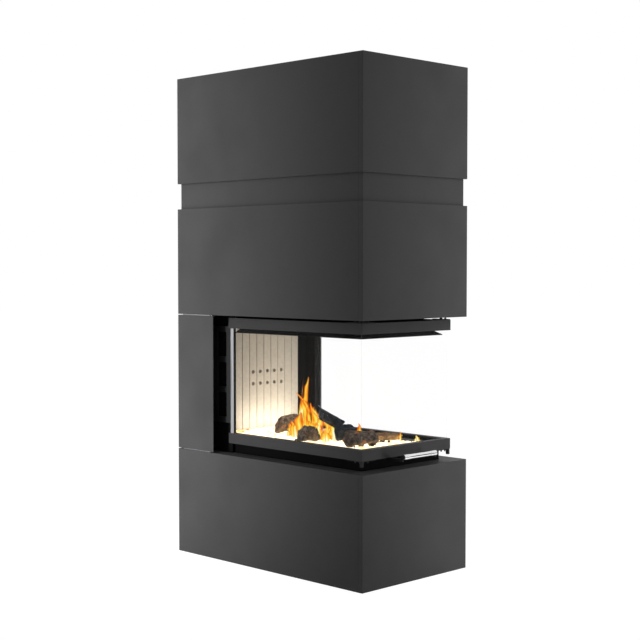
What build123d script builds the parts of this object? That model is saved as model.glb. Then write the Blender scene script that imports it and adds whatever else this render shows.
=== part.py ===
from build123d import *

import os
from math import sqrt

os.makedirs("parts", exist_ok=True)

# The casing stands on the floor, with +Z up. Its short front faces -Y and its open back faces +Y.
# Depths run back from the front face, and insets run inward from the front and side faces.

# Casing
casing_width = 670.0
casing_depth = 1180.0
sheet = 3.0
bend_radius = 1.5
front_return = 22.0
side_fold = 14.0
rear_return = 45.0
panel_seam = 0.6
reveal = 4.0
base_height = 483.0
column_depth = 249.0
band_height = 117.0
band_inset = 12.0
upper_height = 485.0

# Lifting door
door_inset = 50.0
door_clearance = 47.0
door_recess = 51.0
bar_height = 46.0
bar_depth = 24.0
bar_wall = 2.0
sight_height = 477.0
hood_gap = 13.0
lift = 510.0
glass_thickness = 4.0
glass_setback = 8.0
glass_bite = 9.0
glass_play = 0.3
glass_joint = 1.0
mitre_gap = 0.2
channel_width = 20.0
channel_thickness = 12.0
channel_offset = 9.0

# Door handle
handle_length = 206.0
handle_proud = 18.0
handle_rise = 6.0
handle_radius = 10.0
handle_wall = 1.5
sleeve_radius = 11.0
sleeve_length = 37.0
arm_thickness = 6.0
arm_height = 12.0

# Corner brackets of the door frame, with their studs and nuts
bracket_leg = 86.0
bracket_width = 20.0
bracket_thickness = 3.0
stud_radius = 2.5
stud_height = 9.0
nut_radius = 4.6
nut_height = 4.0
stud_near = 22.0
stud_far = 48.0
stop_size = 12.0
stop_height = 22.0

# Carriages, rods, cables, sheaves and counterweights
rod_radius = 8.0
running_fit = 0.05
cable_radius = 2.0
cable_play = 0.3
pitch_radius = 40.0
sheave_flange = 4.0
sheave_width = 14.0
sheave_rim = 2.0
axle_margin = 8.0
shaft_radius = 10.0
axle_radius = 8.0
bush_wall = 4.0
weight_width = 70.0
weight_depth = 56.0
weight_play = 2.0
weight_plates = 6
groove = 1.5
block_height = 60.0
rod_to_cable = 30.0
block_wall = 20.0
carriage_plate = 5.0
bearing_plate = 8.0
shelf_thickness = 8.0
shelf_to_axle = 50.0
top_travel_margin = 30.0

# Rear frame and stand
post = 20.0
post_wall = 2.0
post_inset = 27.0
leg = 40.0
leg_wall = 3.0
leg_inset = 115.0
rail_height = 30.0
foot_radius = 30.0
foot_thickness = 8.0
foot_stem_radius = 10.0
foot_height = 34.0

# Firebox
tray_gap = 12.0
tray_wall = 4.0
tray_drop = 36.0
hearth_rise = 30.0
hearth_slab = 25.0
fire_inset = 133.0
shell_wall = 4.0
lip_depth = 50.0
ceramic_thickness = 28.0
ceramic_play = 0.5
ribs = 9
rib_groove = 5.0
jet_radius = 5.0
jet_rows = 2
jet_columns = 5
jet_row_pitch = 55.0
jet_top = 841.0
ember_depth = 31.0
channel_depth = 30.0
grate_length = 400.0
grate_width = 280.0
grate_thickness = 15.0
grate_bar = 10.0
grate_slot = 10.0
grate_setback = 200.0
pan_wall = 1.5
pan_play = 7.0
trim_thickness = 3.0
trim_drop = 21.0
trim_rise = 34.0
frame_height = 60.0
ledge = 14.0
baffle_thickness = 25.0
dome_height = 188.0
dome_top = 230.0
flue_radius = 100.0
flue_play = 0.5
collar_wall = 3.0
collar_height = 110.0
stop_ring = 6.0
rope = 10.0
shield_gap = 28.0

# Combustion air
spigot_radius = 62.5
spigot_wall = 2.0
spigot_length = 50.0
air_box_height = 40.0
air_box_clearance = 30.0
air_box_depth = 160.0
slot_width = 70.0
slot_depth = 14.0
slot_count = 3
slide_travel = 30.0
slide_play = 0.2
slide_thickness = 2.0
slide_width = 22.0
lever_radius = 3.0
knob_radius = 6.0
knob_length = 14.0

# Places worked out from the sizes above
half_width = casing_width / 2
handle_reach = handle_proud + sleeve_radius
front_y = handle_reach - (casing_depth + handle_reach) / 2
rear_y = front_y + casing_depth
door_low = base_height + door_clearance
door_high = door_low + 2 * bar_height + sight_height
glass_low = door_low + bar_height
glass_high = glass_low + sight_height
hood_low = door_high + hood_gap
column_low = base_height + reveal
column_high = hood_low - reveal
column_face = casing_depth - column_depth
door_rear = column_face - door_recess
bar_inset = door_inset + bar_depth
block_low = glass_low + 44.0
block_high = door_high - 39.0
rod_high = block_high + lift + top_travel_margin
rod_low = base_height + 25.0
hood_high = rod_high - weight_play
band_high = hood_high + band_height
casing_high = band_high + upper_height
post_front = casing_depth - sheet - post
cable_rear = post_front - 2 * weight_play - weight_depth / 2
axle_depth = cable_rear - pitch_radius
cable_front = axle_depth - pitch_radius
rod_depth = cable_front - rod_to_cable
block_face = rod_depth - rod_radius - bush_wall - 10.0
block_back = cable_front + cable_radius + 11.0
mech_inset = side_fold + weight_play + weight_width / 2
cheek_inset = bar_inset - 1.0
plate_inset = mech_inset + weight_width / 2 + 9.0
high_axle = rod_high + shelf_to_axle
low_axle = rod_low + shelf_to_axle + 2.0
sheave_radius = pitch_radius + sheave_flange
weight_high = high_axle - sheave_radius - 16.0
weight_low = low_axle + sheave_radius + 8.0 + lift
tray_inset = bar_inset + tray_gap
tray_low = base_height - tray_drop
tray_high = glass_low - 2.0
hearth_high = door_low + hearth_rise
hearth_low = hearth_high - hearth_slab
ember_high = hearth_low + ember_depth
ceramic_face = door_rear + lip_depth
ceramic_back = ceramic_face + ceramic_thickness
shell_half = half_width - cheek_inset
frame_low = glass_high + 9.0
frame_high = frame_low + frame_height
ledge_high = frame_low + 20.0
dome_high = frame_high + dome_height
flue_depth = (fire_inset + ceramic_back) / 2
fire_half = half_width - fire_inset
trim_low = glass_high - trim_drop
trim_high = trim_low + trim_rise
shell_high = frame_high + 8.0
handle_z = door_low + handle_rise
sides = (("left", -1), ("right", 1))


def back(depth):
    """Y of a place at this depth behind the casing's front face."""
    return front_y + depth


def across(sign, inset_a, inset_b):
    """Lowest and highest X of a span between two insets from one side face."""
    return sorted((sign * (half_width - inset_a), sign * (half_width - inset_b)))


def block(x_span, depth_span, z_span, mode=Mode.ADD):
    """Rectangular block over three spans, its Y span given as depths."""
    corner = (x_span[0], back(depth_span[0]), z_span[0])
    sizes = [span[1] - span[0] for span in (x_span, depth_span, z_span)]
    with Locations(corner):
        Box(*sizes, align=(Align.MIN, Align.MIN, Align.MIN), mode=mode)


def u_face(outer, inner, depth_end):
    """Face of a band along both sides and the front, between two insets."""
    Polygon(
        (-half_width + outer, back(depth_end)),
        (-half_width + outer, back(outer)),
        (half_width - outer, back(outer)),
        (half_width - outer, back(depth_end)),
        (half_width - inner, back(depth_end)),
        (half_width - inner, back(inner)),
        (-half_width + inner, back(inner)),
        (-half_width + inner, back(depth_end)),
        align=None,
    )


def mitre_slits(outer, inner, z_low, z_high):
    """Hairline mitre joints at both front corners of a U-shaped band."""
    middle = (outer + inner) / 2
    length = 2 * sqrt(2) * (inner - outer)
    for _, sign in sides:
        centre = (sign * (half_width - middle), back(middle), z_low)
        with Locations(Location(centre, (0, 0, -45 * sign))):
            Box(
                length,
                mitre_gap,
                z_high - z_low,
                align=(Align.CENTER, Align.CENTER, Align.MIN),
                mode=Mode.SUBTRACT,
            )


def front_pan(z_low, z_high, inset):
    """Front panel: one sheet with a fold on each of its four edges."""
    half = half_width - inset
    with BuildPart() as pan:
        block((-half, half), (inset, inset + front_return), (z_low, z_high))
        bends = pan.edges().filter_by(Axis.Z).group_by(Axis.Y)[0]
        fillet(bends, bend_radius)
        block(
            (-half + sheet, half - sheet),
            (inset + sheet, inset + front_return),
            (z_low + sheet, z_high - sheet),
            mode=Mode.SUBTRACT,
        )
    return pan


def side_pan(sign, z_low, z_high, depth_low, depth_high, inset, front_fold, rear_width):
    """Side panel: one sheet folded inward at top and bottom, and at its ends where it says so."""
    with BuildPart() as pan:
        block(
            across(sign, inset, inset + side_fold),
            (depth_low, depth_high),
            (z_low, z_high),
        )
        block(
            across(sign, inset + sheet, inset + side_fold),
            (depth_low + front_fold * sheet, depth_high - sheet),
            (z_low + sheet, z_high - sheet),
            mode=Mode.SUBTRACT,
        )
        if rear_width:
            block(
                across(sign, inset, inset + rear_width),
                (depth_high - sheet, depth_high),
                (z_low, z_high),
            )
    return pan


def square_tube(x_span, depth_span, z_span, wall, axis):
    """Square tube along one axis, open at both ends."""
    spans = [x_span, depth_span, z_span]
    inner = [(low + wall, high - wall) for low, high in spans]
    inner[axis] = spans[axis]
    block(*spans)
    block(*inner, mode=Mode.SUBTRACT)


def side_pans(*sizes):
    """The pair of side panels with these sizes, as one part."""
    pans = [side_pan(sign, *sizes) for _, sign in sides]
    with BuildPart() as pair:
        for pan in pans:
            add(pan.part)
    return pair


# Base of the casing
plate_low = base_height - sheet
base_front_panel = front_pan(0.0, plate_low, 0.0)
base_front_panel.part.label = "base_front_panel"
export_step(base_front_panel.part, "parts/base_front_panel.step")

side_start = front_return + panel_seam
base_side_panels = side_pans(0.0, plate_low, side_start, casing_depth, 0.0, True, rear_return)
base_side_panels.part.label = "base_side_panels"
export_step(base_side_panels.part, "parts/base_side_panels.step")

cutout_inset = tray_inset - sheet
with BuildPart() as base_top_plate:
    block((-half_width, half_width), (0.0, casing_depth), (plate_low, base_height))
    corners = base_top_plate.edges().filter_by(Axis.Z).group_by(Axis.Y)[0]
    fillet(corners, bend_radius)
    block(
        (-half_width + cutout_inset, half_width - cutout_inset),
        (cutout_inset, casing_depth),
        (plate_low, base_height),
        mode=Mode.SUBTRACT,
    )
    for _, sign in sides:
        block(
            across(sign, post_inset - 1.0, cutout_inset),
            (post_front - 1.0, casing_depth),
            (plate_low, base_height),
            mode=Mode.SUBTRACT,
        )
base_top_plate.part.label = "base_top_plate"
export_step(base_top_plate.part, "parts/base_top_plate.step")

# Rear column of the casing, set between two shadow gaps
column_panels = side_pans(
    column_low, column_high, column_face, casing_depth, 0.0, False, rear_return
)
column_panels.part.label = "column_panels"
export_step(column_panels.part, "parts/column_panels.step")

spacer_margin = 30.0
with BuildPart() as gap_spacers:
    for _, sign in sides:
        for z_low in (base_height, column_high):
            block(
                across(sign, side_fold / 2, side_fold),
                (column_face + spacer_margin, casing_depth - spacer_margin),
                (z_low, z_low + reveal),
            )
gap_spacers.part.label = "gap_spacers"
export_step(gap_spacers.part, "parts/gap_spacers.step")

# Hood and upper box of the casing, with the recessed band between them
for level, z_low, z_high in (
    ("hood", hood_low, hood_high),
    ("upper", band_high, casing_high - sheet),
):
    front_panel = front_pan(z_low, z_high, 0.0)
    front_panel.part.label = f"{level}_front_panel"
    export_step(front_panel.part, f"parts/{level}_front_panel.step")
    side_panels = side_pans(z_low, z_high, side_start, casing_depth, 0.0, True, rear_return)
    side_panels.part.label = f"{level}_side_panels"
    export_step(side_panels.part, f"parts/{level}_side_panels.step")

band_front = front_pan(hood_high, band_high, band_inset)
band_sides = side_pans(
    hood_high,
    band_high,
    side_start + band_inset,
    casing_depth - band_inset,
    band_inset,
    True,
    0.0,
)
with BuildPart() as band_panels:
    add(band_front.part)
    add(band_sides.part)
band_panels.part.label = "band_panels"
export_step(band_panels.part, "parts/band_panels.step")

flue_clearance = 25.0
with BuildPart() as top_plate:
    block((-half_width, half_width), (0.0, casing_depth), (casing_high - sheet, casing_high))
    corners = top_plate.edges().filter_by(Axis.Z).group_by(Axis.Y)[0]
    fillet(corners, bend_radius)
    with Locations((0, back(flue_depth), casing_high - sheet)):
        Cylinder(
            flue_radius + flue_clearance,
            sheet,
            align=(Align.CENTER, Align.CENTER, Align.MIN),
            mode=Mode.SUBTRACT,
        )
top_plate.part.label = "top_plate"
export_step(top_plate.part, "parts/top_plate.step")

# Rear frame: two square posts from the floor to the top, with rails welded between them
rail_half = half_width - post_inset - post
rail_levels = (
    post,
    low_axle - post,
    (low_axle + high_axle) / 2,
    high_axle - post,
    casing_high - sheet - 2 * post,
)
with BuildPart() as rear_frame:
    for _, sign in sides:
        square_tube(
            across(sign, post_inset, post_inset + post),
            (post_front, post_front + post),
            (0.0, casing_high - sheet),
            post_wall,
            2,
        )
    for z_low in rail_levels:
        square_tube(
            (-rail_half, rail_half),
            (post_front, post_front + post),
            (z_low, z_low + post),
            post_wall,
            0,
        )
rear_frame.part.label = "rear_frame"
export_step(rear_frame.part, "parts/rear_frame.step")

# Stand under the firebox: four legs on screw feet, with rails welded between them
leg_depths = (160.0, ceramic_face - 70.0)
rail_low = 90.0
leg_half = leg / 2
leg_x = half_width - leg_inset - leg_half
with BuildPart() as stand:
    for depth in leg_depths:
        square_tube(
            (-leg_x + leg_half, leg_x - leg_half),
            (depth - rail_height / 2, depth + rail_height / 2),
            (rail_low, rail_low + rail_height),
            post_wall,
            0,
        )
        for _, sign in sides:
            x_span = (sign * leg_x - leg_half, sign * leg_x + leg_half)
            depth_span = (depth - leg_half, depth + leg_half)
            block(x_span, depth_span, (foot_height, tray_low))
            block(
                (x_span[0] + leg_wall, x_span[1] - leg_wall),
                (depth_span[0] + leg_wall, depth_span[1] - leg_wall),
                (foot_height + leg_wall, tray_low - leg_wall),
                mode=Mode.SUBTRACT,
            )
    for _, sign in sides:
        square_tube(
            (sign * leg_x - rail_height / 2, sign * leg_x + rail_height / 2),
            (leg_depths[0] + leg_half, leg_depths[1] - leg_half),
            (rail_low, rail_low + rail_height),
            post_wall,
            1,
        )
stand.part.label = "stand"
export_step(stand.part, "parts/stand.step")

foot_places = [(sign * leg_x, back(depth)) for depth in leg_depths for _, sign in sides]
with BuildPart() as screw_feet:
    with BuildSketch(Plane.XY):
        with Locations(*foot_places):
            Circle(foot_radius)
    extrude(amount=foot_thickness)
    with BuildSketch(Plane.XY.offset(foot_thickness)):
        with Locations(*foot_places):
            RegularPolygon(foot_stem_radius, 6)
    extrude(amount=foot_height - foot_thickness)
screw_feet.part.label = "screw_feet"
export_step(screw_feet.part, "parts/screw_feet.step")

# Lower body of the firebox: a steel tray whose floor has the air slots and the lever's slot in front
lever_z = (tray_low + tray_high) / 2 - 5.0
slide_depth = tray_inset + tray_wall + slide_width / 2 + 2.0
slot_pitch = slot_width + 2 * slide_travel + 10.0
slot_centre = (0, back(slide_depth), tray_low)
air_box_start = tray_inset + 4.0
spigot_depth = air_box_start + air_box_depth / 2
with BuildPart() as floor_tray:
    tray_half = half_width - tray_inset
    block((-tray_half, tray_half), (tray_inset, ceramic_face), (tray_low, tray_high))
    block(
        (-tray_half + tray_wall, tray_half - tray_wall),
        (tray_inset + tray_wall, ceramic_face - tray_wall),
        (tray_low + tray_wall, tray_high),
        mode=Mode.SUBTRACT,
    )
    with Locations(slot_centre):
        with GridLocations(slot_pitch, 0, slot_count, 1):
            Box(
                slot_width,
                slot_depth,
                tray_wall,
                align=(Align.CENTER, Align.CENTER, Align.MIN),
                mode=Mode.SUBTRACT,
            )
    block(
        (-slide_travel - lever_radius - 1.0, slide_travel + lever_radius + 1.0),
        (tray_inset, tray_inset + tray_wall),
        (lever_z - lever_radius - 1.0, lever_z + lever_radius + 1.0),
        mode=Mode.SUBTRACT,
    )
floor_tray.part.label = "floor_tray"
export_step(floor_tray.part, "parts/floor_tray.step")

# Air box and duct spigot under the tray
with BuildPart() as air_box:
    box_half = leg_x - leg_half - air_box_clearance
    block(
        (-box_half, box_half),
        (air_box_start, air_box_start + air_box_depth),
        (tray_low - air_box_height, tray_low),
    )
    block(
        (-box_half + sheet, box_half - sheet),
        (air_box_start + sheet, air_box_start + air_box_depth - sheet),
        (tray_low - air_box_height + sheet, tray_low),
        mode=Mode.SUBTRACT,
    )
    spigot_plane = Plane.XY.offset(tray_low - air_box_height - spigot_length)
    with BuildSketch(spigot_plane):
        with Locations((0, back(spigot_depth))):
            Circle(spigot_radius)
    extrude(amount=spigot_length)
    with BuildSketch(spigot_plane):
        with Locations((0, back(spigot_depth))):
            Circle(spigot_radius - spigot_wall)
    extrude(amount=spigot_length + sheet, mode=Mode.SUBTRACT)
air_box.part.label = "air_box"
export_step(air_box.part, "parts/air_box.step")

# Air slide: a slotted plate on the tray's floor, with a lever through the front wall
slide_floor = tray_low + tray_wall + slide_play
with BuildPart() as air_slide:
    slide_half = (slot_pitch * (slot_count - 1) + slot_width) / 2 + 15.0
    block(
        (-slide_half, slide_half),
        (slide_depth - slide_width / 2, slide_depth + slide_width / 2),
        (slide_floor, slide_floor + slide_thickness),
    )
    with Locations((0, back(slide_depth), slide_floor)):
        with GridLocations(slot_pitch, 0, slot_count, 1):
            Box(
                slot_width,
                slot_depth,
                slide_thickness,
                align=(Align.CENTER, Align.CENTER, Align.MIN),
                mode=Mode.SUBTRACT,
            )
    block(
        (-2 * lever_radius, 2 * lever_radius),
        (slide_depth - slide_width / 2, slide_depth - slide_width / 2 + slide_thickness),
        (slide_floor + slide_thickness, lever_z + 2 * lever_radius),
    )
    lever_plane = Plane(
        origin=(0, back(slide_depth - slide_width / 2), lever_z), z_dir=(0, -1, 0)
    )
    with BuildSketch(lever_plane):
        Circle(lever_radius)
    extrude(amount=slide_width)
    with BuildSketch(lever_plane.offset(slide_width)):
        Circle(knob_radius)
    extrude(amount=knob_length)
    chamfer(air_slide.edges().group_by(Axis.Y)[0], 1.5)
air_slide.part.label = "air_slide"
export_step(air_slide.part, "parts/air_slide.step")

# Fire bricks, ash pan, grate, hearth border and embers
inner_inset = tray_inset + tray_wall
brick_play = 0.5
grate_half = grate_width / 2
grate_depth = tray_inset + channel_depth + tray_wall + grate_setback
well_margin = 20.0
grate_seat = (grate_depth - brick_play, grate_depth + grate_length + brick_play)
with BuildPart() as fire_bricks:
    brick_half = half_width - inner_inset - brick_play
    block(
        (-brick_half, brick_half),
        (inner_inset + channel_depth, ceramic_face - tray_wall - brick_play),
        (tray_low + tray_wall, hearth_low),
    )
    block(
        (-grate_half - brick_play, grate_half + brick_play),
        grate_seat,
        (hearth_low - grate_thickness, hearth_low),
        mode=Mode.SUBTRACT,
    )
    block(
        (-grate_half + well_margin, grate_half - well_margin),
        (grate_depth + well_margin, grate_depth + grate_length - well_margin),
        (tray_low + tray_wall, hearth_low),
        mode=Mode.SUBTRACT,
    )
fire_bricks.part.label = "fire_bricks"
export_step(fire_bricks.part, "parts/fire_bricks.step")

with BuildPart() as ash_pan:
    pan_half = grate_half - well_margin - pan_play
    pan_start = grate_depth + well_margin + pan_play
    pan_end = grate_depth + grate_length - well_margin - pan_play
    pan_low = tray_low + tray_wall
    pan_high = hearth_low - grate_thickness - 15.0
    block((-pan_half, pan_half), (pan_start, pan_end), (pan_low, pan_high))
    fillet(ash_pan.edges().filter_by(Axis.Z), 8.0)
    offset(amount=-pan_wall, openings=ash_pan.faces().sort_by(Axis.Z)[-1])
ash_pan.part.label = "ash_pan"
export_step(ash_pan.part, "parts/ash_pan.step")

slot_rows = int((grate_length - grate_bar) / (grate_bar + grate_slot))
slot_length = (grate_width - 3 * grate_bar) / 2 - 2.0
with BuildPart() as fire_grate:
    block(
        (-grate_half, grate_half),
        (grate_depth, grate_depth + grate_length),
        (hearth_low - grate_thickness, hearth_low),
    )
    chamfer(fire_grate.edges().group_by(Axis.Z)[-1], 1.5)
    with Locations((0, back(grate_depth + grate_length / 2), hearth_low - grate_thickness)):
        with GridLocations(slot_length + grate_bar, grate_bar + grate_slot, 2, slot_rows):
            Box(
                slot_length,
                grate_slot,
                grate_thickness,
                align=(Align.CENTER, Align.CENTER, Align.MIN),
                mode=Mode.SUBTRACT,
            )
fire_grate.part.label = "fire_grate"
export_step(fire_grate.part, "parts/fire_grate.step")

border_end = ceramic_face - tray_wall - brick_play
with BuildPart() as hearth_border:
    with BuildSketch(Plane.XY.offset(hearth_low)):
        u_face(inner_inset + brick_play, fire_inset, border_end)
    extrude(amount=hearth_slab)
    mitre_slits(inner_inset + brick_play, fire_inset, hearth_low, hearth_high)
    chamfer(hearth_border.edges().group_by(Axis.Z)[-1], 1.0)
hearth_border.part.label = "hearth_border"
export_step(hearth_border.part, "parts/hearth_border.step")

ember_slope = 12.0
with BuildPart() as ember_bed:
    bed_half = fire_half - brick_play
    block((-bed_half, bed_half), (fire_inset + brick_play, border_end), (hearth_low, ember_high))
    chamfer(ember_bed.edges().group_by(Axis.Z)[-1], ember_slope / 2, ember_slope)
ember_bed.part.label = "ember_bed"
export_step(ember_bed.part, "parts/ember_bed.step")

# Rear wall of the firebox: cheeks beside the door's rear ends and a pocket for the ceramic panel
with BuildPart() as rear_shell:
    with BuildSketch(Plane.XY.offset(base_height)):
        for _, sign in sides:
            with Locations((sign * (shell_half - shell_wall / 2), back(door_rear))):
                Rectangle(
                    shell_wall, cable_front - 20.0 - door_rear, align=(Align.CENTER, Align.MIN)
                )
            face_width = shell_half - fire_half - ceramic_play
            with Locations((sign * (fire_half + ceramic_play + face_width / 2), back(ceramic_face))):
                Rectangle(face_width, shell_wall, align=(Align.CENTER, Align.MIN))
            pocket_x = sign * (fire_half + ceramic_play + shell_wall / 2)
            with Locations((pocket_x, back(ceramic_face))):
                Rectangle(
                    shell_wall, ceramic_thickness + shell_wall, align=(Align.CENTER, Align.MIN)
                )
        with Locations((0, back(ceramic_back))):
            Rectangle(2 * fire_half + shell_wall, shell_wall, align=(Align.CENTER, Align.MIN))
    extrude(amount=shell_high - base_height)
    block(
        (-fire_half - ceramic_play, fire_half + ceramic_play),
        (ceramic_face, ceramic_back),
        (hearth_high - 14.0, hearth_high - shell_wall),
    )
rear_shell.part.label = "rear_shell"
export_step(rear_shell.part, "parts/rear_shell.step")

with BuildPart() as heat_shield:
    shield_half = fire_half + shell_wall / 2
    shield_low = tray_low + 50.0
    shield_high = shell_high - 30.0
    shield_front = ceramic_back + shell_wall
    block(
        (-shield_half, shield_half),
        (shield_front, shield_front + shield_gap),
        (shield_low, shield_high),
    )
    block(
        (-shield_half + sheet, shield_half - sheet),
        (shield_front, shield_front + shield_gap - sheet),
        (shield_low, shield_high),
        mode=Mode.SUBTRACT,
    )
heat_shield.part.label = "heat_shield"
export_step(heat_shield.part, "parts/heat_shield.step")

# Ribbed ceramic rear panel with two rows of air jets
ceramic_low = hearth_high - shell_wall
ceramic_high = frame_low - 3.0
rib_pitch = 2 * fire_half / ribs
with BuildPart() as ceramic_panel:
    with BuildSketch(Plane.XY.offset(ceramic_low)):
        with Locations((0, back(ceramic_face))):
            Rectangle(2 * fire_half, ceramic_thickness, align=(Align.CENTER, Align.MIN))
        for rib in range(ribs + 1):
            with Locations((-fire_half + rib * rib_pitch, back(ceramic_face))):
                Polygon(
                    (-rib_groove / 2, 0),
                    (0, rib_groove),
                    (rib_groove / 2, 0),
                    align=None,
                    mode=Mode.SUBTRACT,
                )
    extrude(amount=ceramic_high - ceramic_low)
    jet_plane = Plane(origin=(0, back(ceramic_face), jet_top), x_dir=(1, 0, 0), z_dir=(0, -1, 0))
    with BuildSketch(jet_plane.offset(-ceramic_thickness)):
        with Locations((0, -jet_row_pitch * (jet_rows - 1) / 2)):
            with GridLocations(rib_pitch, jet_row_pitch, jet_columns, jet_rows):
                Circle(jet_radius)
    extrude(amount=ceramic_thickness, mode=Mode.SUBTRACT)
ceramic_panel.part.label = "ceramic_panel"
export_step(ceramic_panel.part, "parts/ceramic_panel.step")

# Frame under the smoke dome, with a ledge that carries the baffles
with BuildPart() as dome_frame:
    block((-fire_half, fire_half), (fire_inset, ceramic_back), (frame_low, frame_high))
    block(
        (-fire_half + shell_wall, fire_half - shell_wall),
        (fire_inset + shell_wall, ceramic_back - shell_wall),
        (frame_low, frame_high),
        mode=Mode.SUBTRACT,
    )
    block(
        (-fire_half, fire_half), (fire_inset, ceramic_back), (ledge_high - shell_wall, ledge_high)
    )
    block(
        (-fire_half + ledge, fire_half - ledge),
        (fire_inset + ledge, ceramic_back - ledge),
        (frame_low, frame_high),
        mode=Mode.SUBTRACT,
    )
    block(
        (-fire_half + shell_wall, fire_half - shell_wall),
        (fire_inset + shell_wall, ceramic_back - shell_wall),
        (ledge_high, frame_high),
        mode=Mode.SUBTRACT,
    )
dome_frame.part.label = "dome_frame"
export_step(dome_frame.part, "parts/dome_frame.step")

baffle_play = 2.0
baffle_half = fire_half - shell_wall - baffle_play
smoke_gap = 130.0
baffle_step = 30.0
upper_half = baffle_half - 60.0
upper_start = fire_inset + smoke_gap + 40.0
upper_end = ceramic_back - smoke_gap
with BuildPart() as baffles:
    block(
        (-baffle_half, baffle_half),
        (fire_inset + smoke_gap, ceramic_back - shell_wall - baffle_play),
        (ledge_high, ledge_high + baffle_thickness),
    )
    chamfer(baffles.edges().filter_by(Axis.X).group_by(Axis.Y)[0], 8.0)
    block(
        (-upper_half, upper_half),
        (upper_start, upper_end),
        (ledge_high + baffle_thickness, ledge_high + 2 * baffle_thickness + baffle_step),
    )
    block(
        (-upper_half + baffle_thickness, upper_half - baffle_thickness),
        (upper_start, upper_end),
        (ledge_high + baffle_thickness, ledge_high + baffle_thickness + baffle_step),
        mode=Mode.SUBTRACT,
    )
baffles.part.label = "baffles"
export_step(baffles.part, "parts/baffles.step")

# Smoke dome: four sloping sheets, a flat top, and the flue collar with a stop ring inside
dome_depth = ceramic_back - fire_inset
dome_centre = (0, back(flue_depth))
with BuildPart() as smoke_dome:
    for shrink, mode in ((0.0, Mode.ADD), (collar_wall, Mode.SUBTRACT)):
        with BuildSketch(Plane.XY.offset(frame_high)):
            with Locations(dome_centre):
                Rectangle(2 * fire_half - 2 * shrink, dome_depth - 2 * shrink)
        with BuildSketch(Plane.XY.offset(dome_high - shrink)):
            with Locations(dome_centre):
                Rectangle(dome_top - 2 * shrink, dome_top - 2 * shrink)
        loft(ruled=True, mode=mode)
    with BuildSketch(Plane.XY.offset(dome_high)):
        with Locations(dome_centre):
            Circle(flue_radius + flue_play + collar_wall)
    extrude(amount=collar_height)
    with BuildSketch(Plane.XY.offset(dome_high - collar_wall)):
        with Locations(dome_centre):
            Circle(flue_radius - stop_ring)
    extrude(amount=collar_wall + stop_ring, mode=Mode.SUBTRACT)
    with BuildSketch(Plane.XY.offset(dome_high + stop_ring)):
        with Locations(dome_centre):
            Circle(flue_radius + flue_play)
    extrude(amount=collar_height - stop_ring, mode=Mode.SUBTRACT)
smoke_dome.part.label = "smoke_dome"
export_step(smoke_dome.part, "parts/smoke_dome.step")

# Sloping trim that leads air down behind the glass, mitred at both front corners
trim_outer = bar_inset + 2.0
trim_end = door_rear - 18.0
trim_run = fire_inset - trim_outer


def trim_profile(sign):
    """Section of the sloping trim: a strip that rises inward, X as an offset from the casing face."""
    Polygon(
        (sign * trim_outer, trim_low),
        (sign * fire_inset, trim_high),
        (sign * fire_inset, trim_high + trim_thickness),
        (sign * trim_outer, trim_low + trim_thickness),
        align=None,
    )


trim_corners = {sign: (sign * half_width, front_y, 0) for _, sign in sides}
with BuildPart() as front_trim:
    section_plane = Plane(origin=(-half_width, front_y, 0), x_dir=(0, 1, 0), z_dir=(1, 0, 0))
    with BuildSketch(section_plane):
        trim_profile(1)
    extrude(amount=casing_width)
    for sign, corner in trim_corners.items():
        inward = Plane(origin=corner, z_dir=(-sign, -1, 0)).offset(mitre_gap / 2)
        split(bisect_by=inward, keep=Keep.TOP)

trim_strips = [front_trim]
for sign, corner in trim_corners.items():
    with BuildPart() as side_trim:
        side_plane = Plane(origin=corner, x_dir=(1, 0, 0), z_dir=(0, -1, 0))
        with BuildSketch(side_plane):
            trim_profile(-sign)
        extrude(amount=-trim_end)
        outward = Plane(origin=corner, z_dir=(sign, 1, 0)).offset(mitre_gap / 2)
        split(bisect_by=outward, keep=Keep.TOP)
    trim_strips.append(side_trim)

with BuildPart() as air_wash_trim:
    for strip in trim_strips:
        add(strip.part)
air_wash_trim.part.label = "air_wash_trim"
export_step(air_wash_trim.part, "parts/air_wash_trim.step")

# Plate and rope seals that close the gaps behind the door's two bars
seal_end = door_rear - 10.0
seal_inset = bar_inset + 1.5
seal_plate_low = glass_high + 24.0
with BuildPart() as seal_plate:
    with BuildSketch(Plane.XY.offset(seal_plate_low)):
        u_face(seal_inset + rope, fire_inset, seal_end)
    extrude(amount=sheet)
    mitre_slits(seal_inset + rope, fire_inset, seal_plate_low, seal_plate_low + sheet)
seal_plate.part.label = "seal_plate"
export_step(seal_plate.part, "parts/seal_plate.step")

rope_levels = (
    (seal_plate_low - (rope - sheet) / 2, seal_inset + rope),
    (tray_high - 2 * rope - 4.0, tray_inset),
)
with BuildPart() as rope_seals:
    for z_low, rope_inner in rope_levels:
        with BuildSketch(Plane.XY.offset(z_low)):
            u_face(seal_inset, rope_inner, seal_end)
        extrude(amount=rope)
    chamfer(rope_seals.edges().filter_by(Plane.XY), 2.5)
    for z_low, rope_inner in rope_levels:
        mitre_slits(seal_inset, rope_inner, z_low, z_low + rope)
rope_seals.part.label = "rope_seals"
export_step(rope_seals.part, "parts/rope_seals.step")

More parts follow.
